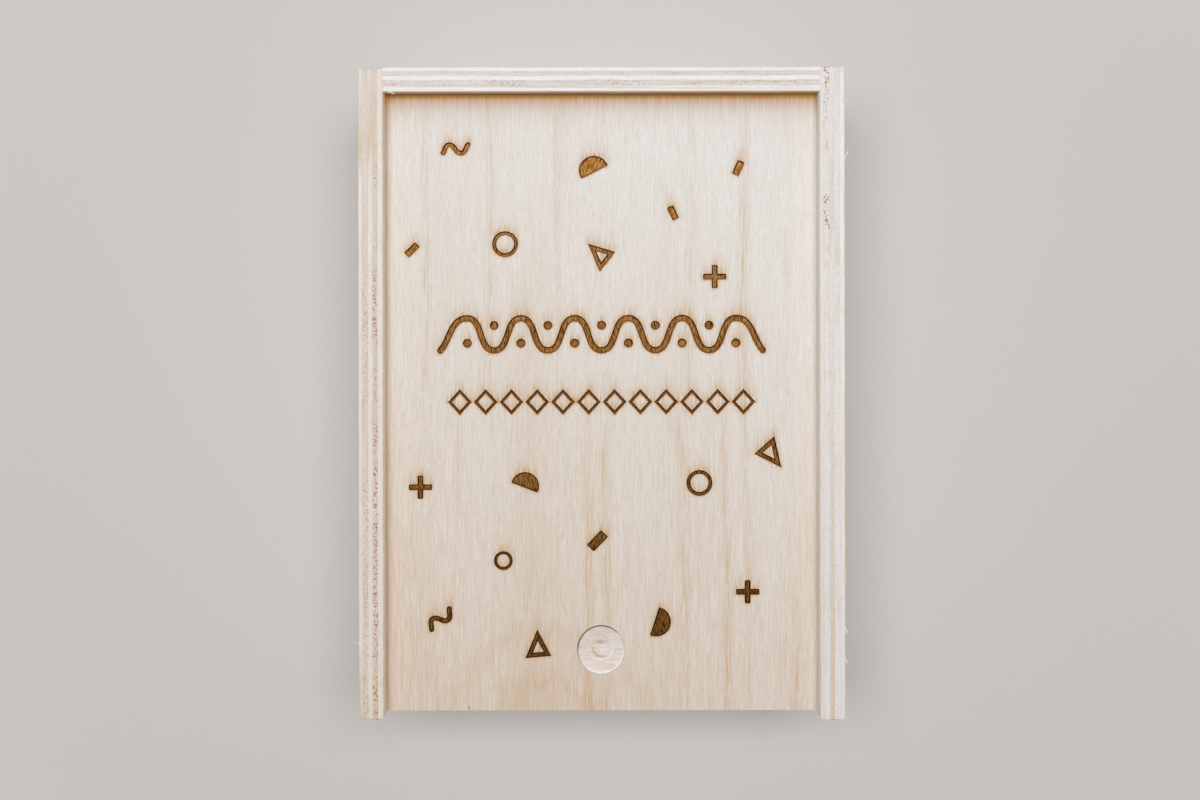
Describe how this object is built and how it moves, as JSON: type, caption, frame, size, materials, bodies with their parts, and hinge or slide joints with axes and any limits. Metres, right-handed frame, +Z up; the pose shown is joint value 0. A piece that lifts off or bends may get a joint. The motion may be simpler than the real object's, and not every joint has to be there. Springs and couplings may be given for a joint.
{
  "type": "sliding lid keepsake box",
  "caption": "Rectangular plywood keepsake box with a flat lid that slides out of grooves in the walls and has a round finger recess.",
  "frame": {"origin": "middle of the box's footprint, on the surface that it stands on", "axes": "+Z up; +Y towards the back wall, along the box's length, so the lid slides out along -Y; +X to the right, across its width"},
  "size_m": [0.149, 0.2, 0.075],
  "materials": {
    "side_plywood": "sanded, bare",
    "end_plywood": "sanded, bare",
    "lid_plywood": "sanded, bare",
    "base_plywood": "sanded, bare",
    "brad_steel": "drawn wire"
  },
  "bodies": {
    "case": {"left_side": "side_plywood", "right_side": "side_plywood", "front_wall": "end_plywood", "back_wall": "end_plywood", "base_panel": "base_plywood", "brad_front_left_1": "brad_steel", "brad_front_left_2": "brad_steel", "brad_front_left_3": "brad_steel", "brad_front_right_1": "brad_steel", "brad_front_right_2": "brad_steel", "brad_front_right_3": "brad_steel", "brad_back_left_1": "brad_steel", "brad_back_left_2": "brad_steel", "brad_back_left_3": "brad_steel", "brad_back_right_1": "brad_steel", "brad_back_right_2": "brad_steel", "brad_back_right_3": "brad_steel"},
    "lid": {"sliding_lid": "lid_plywood"}
  },
  "joints": [
    {"name": "lid_slide", "type": "slide", "parent": "case", "child": "lid", "axis": [0, -1, 0], "range_m": [0, 0.2]}
  ]
}
